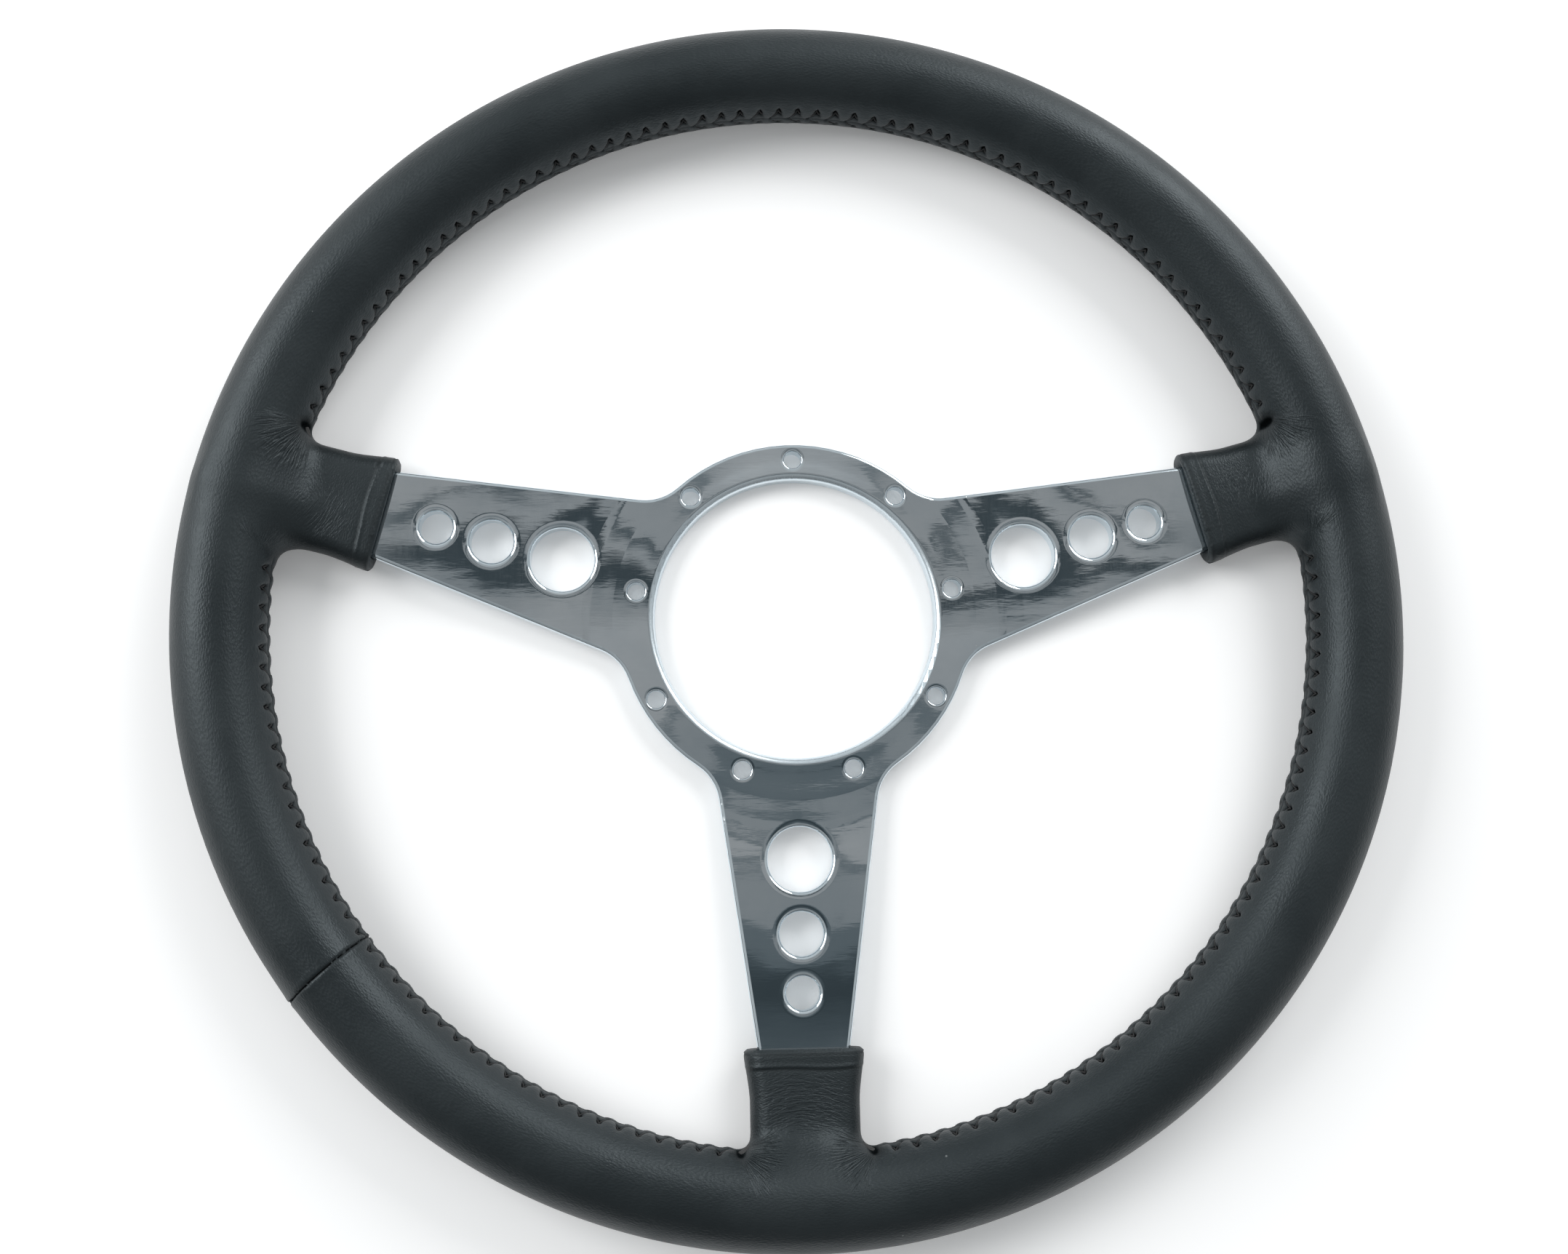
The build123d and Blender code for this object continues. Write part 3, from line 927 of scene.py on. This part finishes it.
def lacingTree():
    ends = ("Hole", "Crown", "Edge", "Short Crown", "Short Edge")
    inputs = {"First Angle": "Float", "Last Angle": "Float", "Stitches": "Int", "Ring Radius": "Float",
              "Rim Height": "Float", **{key: "Vector" for key in ends}, "Thread Radius": "Float",
              "Wander": "Float", "Seed": "Int", "Thread": "Material"}
    tree, given, result = startTree("lacingRun", "GeometryNodeTree", inputs, "Geometry", "Geometry")
    index = addNode(tree, "GeometryNodeInputIndex").outputs[0]
    share = mathNode(tree, "DIVIDE", index, mathNode(tree, "SUBTRACT", given["Stitches"], 1.0))
    span = mathNode(tree, "SUBTRACT", given["Last Angle"], given["First Angle"])
    turn = mathNode(tree, "ADD", given["First Angle"], mathNode(tree, "MULTIPLY", span, share))
    x, y = (mathNode(tree, "MULTIPLY", given["Ring Radius"], mathNode(tree, wave, turn))
            for wave in ("COSINE", "SINE"))
    spot = joinNode(tree, x, y, given["Rim Height"])
    flip = {key: vectorNode(tree, "MULTIPLY", given[key], (1, 1, -1)) for key in ends}
    legs = addNode(tree, "GeometryNodeJoinGeometry")
    for half in (given, flip):
        for crown, edge in (("Crown", "Edge"), ("Short Crown", "Short Edge")):
            leg = threadLeg(tree, half["Hole"], half[crown], half[edge], given["Thread Radius"])
            tree.links.new(leg, legs.inputs[0])
    limits = {2: mathNode(tree, "MULTIPLY", given["Wander"], -1.0), 3: given["Wander"], "Seed": given["Seed"]}
    wander = addNode(tree, "FunctionNodeRandomValue", limits, data_type="FLOAT").outputs[1]
    facing = joinNode(tree, 0, 0, mathNode(tree, "ADD", turn, wander))
    sowStitches(tree, result, given, spot, legs.outputs[0], facing)
    return tree


def backTree():
    inputs = {"Stitches": "Int", "First": "Float", "Step": "Float", "Half Length": "Float", "Rise": "Float",
              "Thread Radius": "Float", "Thread": "Material"}
    tree, given, result = startTree("backStitches", "GeometryNodeTree", inputs, "Geometry", "Geometry")
    index = addNode(tree, "GeometryNodeInputIndex").outputs[0]
    spot = joinNode(tree, mathNode(tree, "MULTIPLY_ADD", index, given["Step"], given["First"]))
    start, end = (joinNode(tree, 0, mathNode(tree, "MULTIPLY", given["Half Length"], side))
                  for side in (-1.0, 1.0))
    crown = joinNode(tree, 0, 0, given["Rise"])
    sowStitches(tree, result, given, spot, threadLeg(tree, start, crown, end, given["Thread Radius"]))
    return tree


def growMesh(name, tree, values):
    holder = bpy.data.objects.new(name, bpy.data.meshes.new(name))
    scene.collection.objects.link(holder)
    modifier = holder.modifiers.new("grow", "NODES")
    modifier.node_group = tree
    for item in tree.interface.items_tree:
        if item.in_out == "INPUT":
            modifier[item.identifier] = values[item.name]
    mesh = evaluatedMesh(holder)
    mesh.name = name
    return mesh


def onTube(sAlong, sideways, proud):
    # a point beside a stitch, from the middle of the rim's section: outwards, along the rim, to the front
    turn, away = sAlong / tubeRadius, tubeRadius + proud
    return Vector((-away * math.cos(turn), sideways, away * math.sin(turn))) * mm


def lacingPieces():
    tree = lacingTree()
    for run, (first, last) in runs.items():
        hole = lacing["holeHeight"][run]
        values = {
            "First Angle": math.radians(first),
            "Last Angle": math.radians(last),
            "Stitches": stitchCount(first, last) + 1,
            "Ring Radius": ringRadius * mm,
            "Rim Height": rimHeight * mm,
            "Hole": onTube(hole, 0.0, -1.0),
            "Crown": onTube(0.55 * hole, 0.45 * lacing["slant"], 0.45),
            "Edge": onTube(0.2, lacing["slant"], -0.9),
            "Short Crown": onTube(0.8 * hole, -0.4, -0.1),
            "Short Edge": onTube(0.4 * hole, -1.6, -0.9),
            "Thread Radius": lacing["threadRadius"] * mm,
            "Wander": lacing["wander"],
            "Seed": lacing["seed"],
            "Thread": blackThread,
        }
        name = "lacing." + run
        piece = addPiece(name, growMesh(name, tree, values), blackThread)
        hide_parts("lacing_" + run)
    print("lacing threaded:", ", ".join(runs))


backStitch = {
    "first": 9.0, "step": 4.8, "count": 4,
    "halfLength": 3.0, "seat": 6.2, "rise": 0.9, "radius": 0.42,
}


def backStitchPieces():
    tree = backTree()
    b = backStitch
    values = {"Stitches": b["count"], "First": b["first"] * mm, "Step": b["step"] * mm,
              "Half Length": b["halfLength"] * mm, "Rise": b["rise"] * mm,
              "Thread Radius": b["radius"] * mm, "Thread": blackThread}
    for side, spoke in spokes.items():
        name = "sleeveStitching." + side
        mesh = growMesh(name, tree, values)
        origin, along, across, front = sleeveAxes(spoke)
        turn = Matrix(np.column_stack([along, -across, -front]).tolist()).to_4x4()
        mesh.transform(Matrix.Translation(Vector(origin - front * b["seat"]) * mm) @ turn)
        piece = addPiece(name, mesh, blackThread)
        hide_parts("sleeve_stitching_" + side)
    print("sleeves sewn:", ", ".join(spokes))


lacingPieces()
backStitchPieces()


# Stage: pale floor, soft overhead light, camera

view = {"place": (-30.3, -70.6, 510.1), "aim": (-4.1, -4.2, 13.4), "roll": -1.02, "sensor": 36, "lens": 37.2}


def makeCamera():
    data = bpy.data.cameras.new("camera")
    data.sensor_width = view["sensor"]
    data.lens = view["lens"]
    data.clip_start = 0.01
    camera = bpy.data.objects.new("camera", data)
    scene.collection.objects.link(camera)
    place = Vector(view["place"]) * mm
    back = (place - Vector(view["aim"]) * mm).normalized()
    right = Vector((0, 1, 0)).cross(back).normalized()
    turn = Matrix((right, back.cross(right), back)).transposed().to_4x4()
    roll = Matrix.Rotation(math.radians(view["roll"]), 4, "Z")
    camera.matrix_world = Matrix.Translation(place) @ turn @ roll
    scene.camera = camera


stage = {"floorSize": 40.0, "below": 0.02, "floorColour": (0.96, 0.96, 0.96), "roughness": 0.9, "lift": 0.14}


def makeFloor():
    bm = bmesh.new()
    bmesh.ops.create_grid(bm, x_segments=1, y_segments=1, size=stage["floorSize"] / 2,
                          matrix=Matrix.Translation((0, 0, rimLow.z - stage["below"] * mm)))
    mesh = bpy.data.meshes.new("floor")
    bm.to_mesh(mesh)
    bm.free()
    material, tree, shader, _ = startMaterial("paleFloor")
    ray = addNode(tree, "ShaderNodeLightPath").outputs      # a little paler to the eye and in mirrors
    seen = mathNode(tree, "ADD", ray["Is Camera Ray"], ray["Is Glossy Ray"])
    seen = mathNode(tree, "ADD", seen, ray["Is Transmission Ray"], clamp=True)
    setInputs(tree, shader, {
        "Base Color": stage["floorColour"],
        "Roughness": stage["roughness"],
        "Emission Color": (1, 1, 1),
        "Emission Strength": mathNode(tree, "MULTIPLY", seen, stage["lift"]),
    })
    mesh.materials.append(material)
    floor = bpy.data.objects.new("floor", mesh)
    scene.collection.objects.link(floor)


sky = {
    "around": 0.43,
    "towardsTop": 0.26,
    "towardsSides": 0.13,
    "tint": (0.95, 0.985, 1.0),
    "bands": [(-0.05, 0.12), (0.0, 0.078), (0.015, 0.056), (0.030, 0.058), (0.040, 0.085), (0.042, 0.14),
              (0.057, 0.15), (0.059, 0.25), (0.080, 0.26), (0.0815, 0.17), (0.0875, 0.16), (0.089, 0.33),
              (0.128, 0.36), (0.140, 0.30), (0.146, 0.24), (0.1475, 0.07), (0.157, 0.06), (0.1585, 0.34),
              (0.171, 0.28), (0.1725, 0.10), (0.1765, 0.09), (0.178, 0.32), (0.203, 0.31), (0.206, 0.19),
              (0.212, 0.20), (0.2135, 0.34), (0.235, 0.45), (0.35, 0.36)],
    "dim": 0.3,                       # panels dimmer than this are bluer
    "dimTint": (-0.30, -0.04, 0.10),
    "wanderScale": 11.0,
    "bandWander": 0.018,
    "streaks": (34, 190, 34),
    "bandRagged": 0.030,
    "panelMiddle": (0.06, 0.10),
    "panelHalf": (0.30, 0.17),
    "panelFade": (1.0, 1.6),
}  # bands: brightness overhead against the slope towards the top of the wheel


def makeSky():
    # soft light from all round, and dimmer panels overhead that the alloy mirrors
    world = bpy.data.worlds.new("studio")
    world.use_nodes = True
    scene.world = world
    tree = world.node_tree
    direction = addNode(tree, "ShaderNodeTexCoord").outputs["Generated"]
    x, y, z = splitNode(tree, direction)
    height = mathNode(tree, "MAXIMUM", z, 0.05)
    slopes = [mathNode(tree, "DIVIDE", axis, height) for axis in (x, y)]
    wander = noiseNode(tree, direction, sky["wanderScale"])
    ragged = noiseNode(tree, mappingNode(tree, direction, Scale=sky["streaks"]), 1.0, 4.0, 0.6)
    slope = slopes[1]
    for stray, amount in ((wander, sky["bandWander"]), (ragged, sky["bandRagged"])):
        stray = mathNode(tree, "MULTIPLY", mathNode(tree, "SUBTRACT", stray, 0.5), amount)
        slope = mathNode(tree, "ADD", slope, stray)
    low, high = sky["bands"][0][0], sky["bands"][-1][0]
    ramp = addNode(tree, "ShaderNodeValToRGB", {0: rangeNode(tree, slope, low, high, 0, 1, "LINEAR")})
    spots = ramp.color_ramp.elements
    for place, level in sky["bands"]:
        share = (place - low) / (high - low)
        spot = spots[0] if share == 0 else spots[-1] if share == 1 else spots.new(share)
        cool = 1 - min(level / sky["dim"], 1)
        spot.color = (*(level * (1 + change * cool) for change in sky["dimTint"]), 1)

    across = []
    for axis in (0, 1):
        middle, half = sky["panelMiddle"][axis], sky["panelHalf"][axis]
        across.append(rangeNode(tree, slopes[axis], middle - 2 * half, middle + 2 * half, -2, 2))
    away = vectorNode(tree, "LENGTH", joinNode(tree, *across))
    panels = rangeNode(tree, away, *sky["panelFade"], 1, 0)
    level = mathNode(tree, "MULTIPLY_ADD", y, sky["towardsTop"], sky["around"])
    level = mathNode(tree, "MULTIPLY_ADD", mathNode(tree, "ABSOLUTE", x), sky["towardsSides"], level)
    walls = joinNode(tree, *(mathNode(tree, "MULTIPLY", level, tint) for tint in sky["tint"]))
    setInputs(tree, tree.nodes["Background"], {"Color": mixColours(tree, panels, walls, ramp.outputs[0])})


lamps = {
    "key": {"place": (-1200, 440, 920), "size": 900, "power": 15.0},
    "fill": {"place": (860, 1020, 860), "size": 900, "power": 14.0},
}


def makeLamps():
    for name, lamp in lamps.items():
        data = bpy.data.lights.new(name, "AREA")
        data.size = lamp["size"] * mm
        data.energy = lamp["power"]
        light = bpy.data.objects.new(name, data)
        scene.collection.objects.link(light)
        place = Vector(lamp["place"]) * mm
        light.location = place
        light.rotation_euler = (-place).to_track_quat("-Z", "Y").to_euler()


makeCamera()
makeFloor()
makeSky()
makeLamps()
print("stage set")
